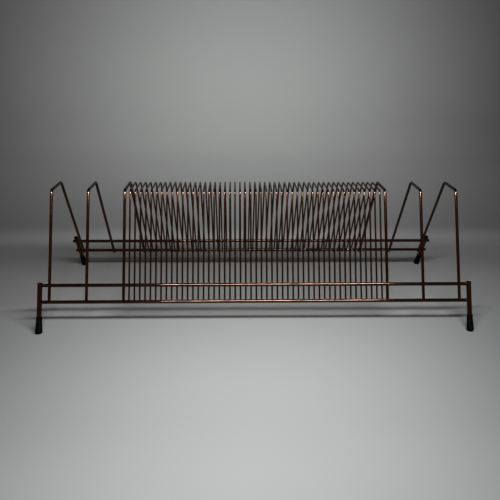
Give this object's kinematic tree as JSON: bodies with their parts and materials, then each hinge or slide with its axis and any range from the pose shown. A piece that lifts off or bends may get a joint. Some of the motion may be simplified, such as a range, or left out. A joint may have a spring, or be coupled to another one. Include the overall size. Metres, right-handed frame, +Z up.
{
  "type": "wire record rack",
  "caption": "Free-standing welded wire rack that keeps vinyl records upright between bent wire dividers, carried by straight rails and short legs with rubber tips.",
  "frame": {"origin": "on the floor, under the middle of the rack, in the plane of the four rubber tips' contact patches", "axes": "+X along the rails to the right, +Y from the front to the rear, +Z up"},
  "size_m": [0.5192, 0.2094, 0.1525],
  "materials": {
    "copper_plated_wire": "gloss",
    "rubber": "matte"
  },
  "bodies": {
    "root": {"heavy_divider_1": "copper_plated_wire", "heavy_divider_2": "copper_plated_wire", "heavy_divider_3": "copper_plated_wire", "heavy_divider_4": "copper_plated_wire", "heavy_divider_5": "copper_plated_wire", "heavy_divider_6": "copper_plated_wire", "leg_front_left": "copper_plated_wire", "leg_front_right": "copper_plated_wire", "leg_rear_left": "copper_plated_wire", "leg_rear_right": "copper_plated_wire", "rail_front_lower": "copper_plated_wire", "rail_front_upper": "copper_plated_wire", "rail_rear_lower": "copper_plated_wire", "rail_rear_upper": "copper_plated_wire", "rubber_tip_front_left": "rubber", "rubber_tip_front_right": "rubber", "rubber_tip_rear_left": "rubber", "rubber_tip_rear_right": "rubber", "thin_divider_01_02": "copper_plated_wire", "thin_divider_03_04": "copper_plated_wire", "thin_divider_05_06": "copper_plated_wire", "thin_divider_07_08": "copper_plated_wire", "thin_divider_09_10": "copper_plated_wire", "thin_divider_11_12": "copper_plated_wire", "thin_divider_13_14": "copper_plated_wire", "thin_divider_15_16": "copper_plated_wire", "thin_divider_17_18": "copper_plated_wire", "thin_divider_19_20": "copper_plated_wire", "thin_divider_21_22": "copper_plated_wire", "thin_divider_23_24": "copper_plated_wire", "thin_divider_25_26": "copper_plated_wire", "thin_divider_27_28": "copper_plated_wire", "thin_divider_29_30": "copper_plated_wire", "thin_divider_31_32": "copper_plated_wire", "thin_divider_33_34": "copper_plated_wire", "thin_divider_35_36": "copper_plated_wire", "thin_divider_37_38": "copper_plated_wire", "thin_divider_39_40": "copper_plated_wire", "thin_divider_41_42": "copper_plated_wire", "thin_divider_43_44": "copper_plated_wire", "thin_divider_45_46": "copper_plated_wire", "thin_divider_47_48": "copper_plated_wire", "thin_divider_49": "copper_plated_wire"}
  },
  "joints": []
}
